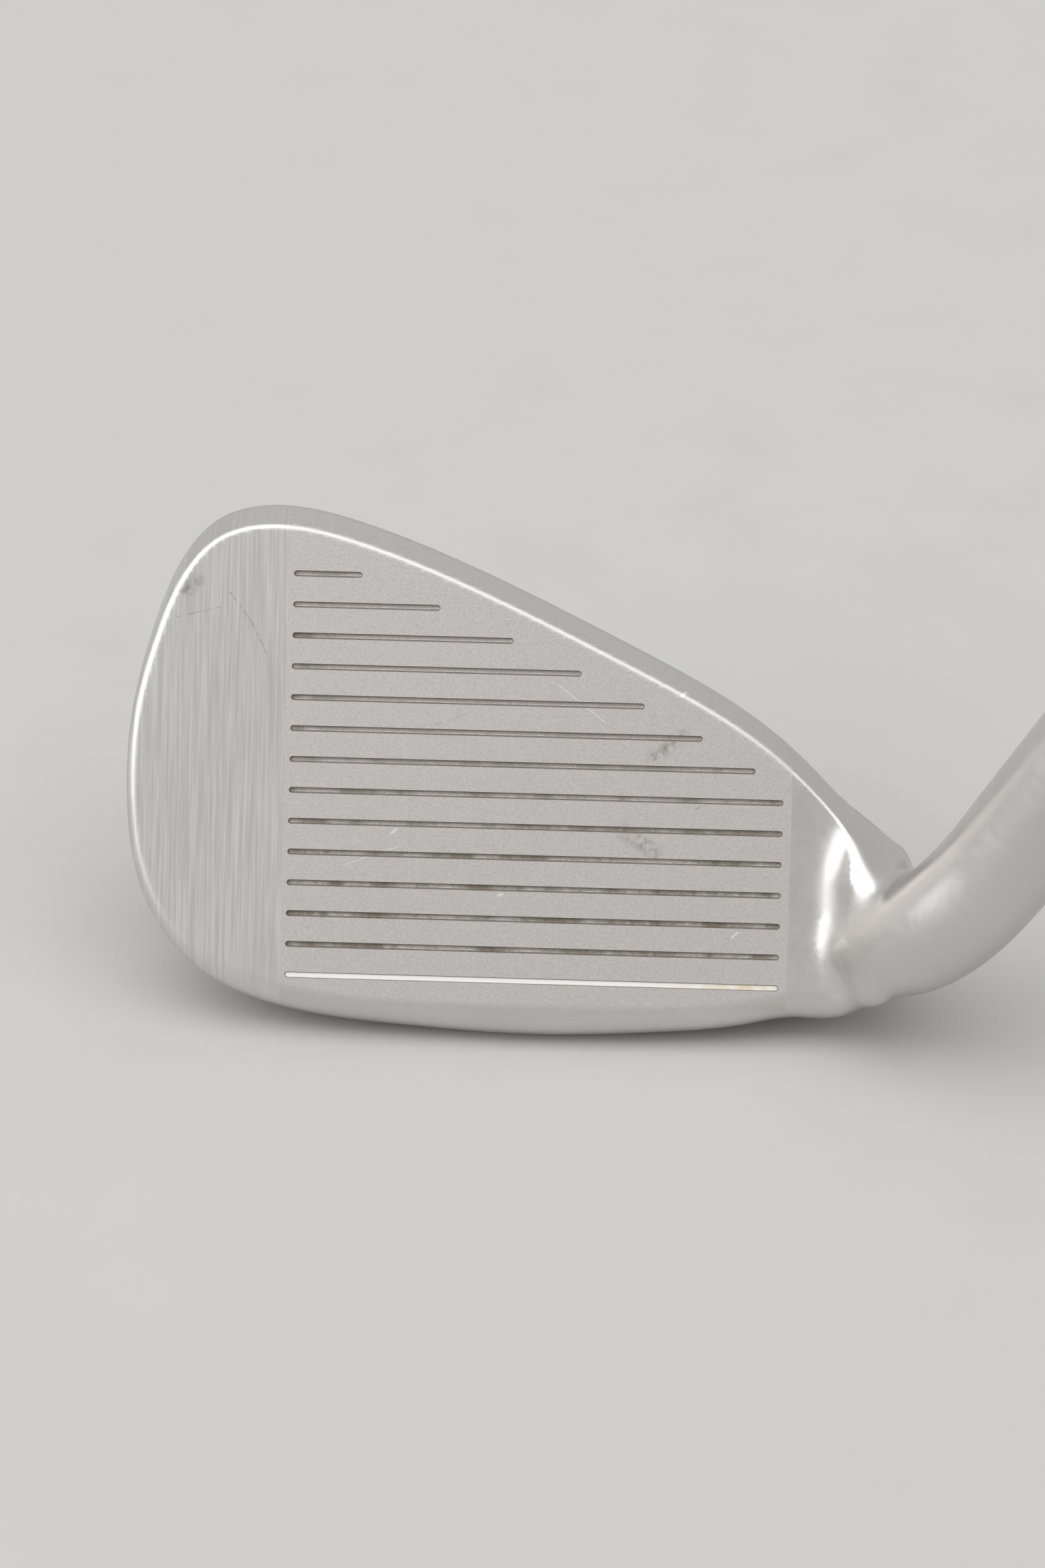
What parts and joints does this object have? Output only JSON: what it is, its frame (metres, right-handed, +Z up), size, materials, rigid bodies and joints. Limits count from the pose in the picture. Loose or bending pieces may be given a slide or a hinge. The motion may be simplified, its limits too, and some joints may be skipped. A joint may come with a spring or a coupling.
{
  "type": "golf iron",
  "caption": "Right-handed cavity-back golf iron: grooved steel head, stepped steel shaft, ferrule and tapered rubber grip, set with its sole on the ground at its lie angle.",
  "frame": {"origin": "where the sole touches the ground, under the middle of the scoring lines", "axes": "+X from toe to heel, -Y the way the face looks, +Z up from the ground; the shaft leans towards +X at the lie angle"},
  "size_m": [0.5385, 0.0488, 0.8356],
  "materials": {
    "head_steel": "cast stainless steel, bead blasted across the middle of the face, brushed at the toe and polished round the edges",
    "groove_white": "white paint fill",
    "damper_rubber": "soft black elastomer",
    "foam_adhesive": "grey foam tape",
    "badge_plate": "brushed aluminium plate with a darker field",
    "epoxy": "cured epoxy",
    "tip_brass": "turned brass",
    "shaft_chrome": "chrome plated steel",
    "ferrule_black": "polished black acetate",
    "band_vinyl": "plain dark vinyl film with a silver border",
    "tape": "double-sided paper tape",
    "grip_rubber": "moulded rubber with a raised non-slip pattern",
    "cap_rubber": "smooth moulded rubber"
  },
  "bodies": {
    "root": {"head_body": "head_steel", "groove_paint": "groove_white", "cavity_damper": "damper_rubber", "badge_adhesive": "foam_adhesive", "cavity_badge": "badge_plate", "hosel_epoxy": "epoxy", "tip_weight": "tip_brass", "shaft": "shaft_chrome", "ferrule": "ferrule_black", "shaft_band": "band_vinyl", "grip_tape": "tape", "grip_sleeve": "grip_rubber", "grip_cap": "cap_rubber"}
  },
  "joints": []
}
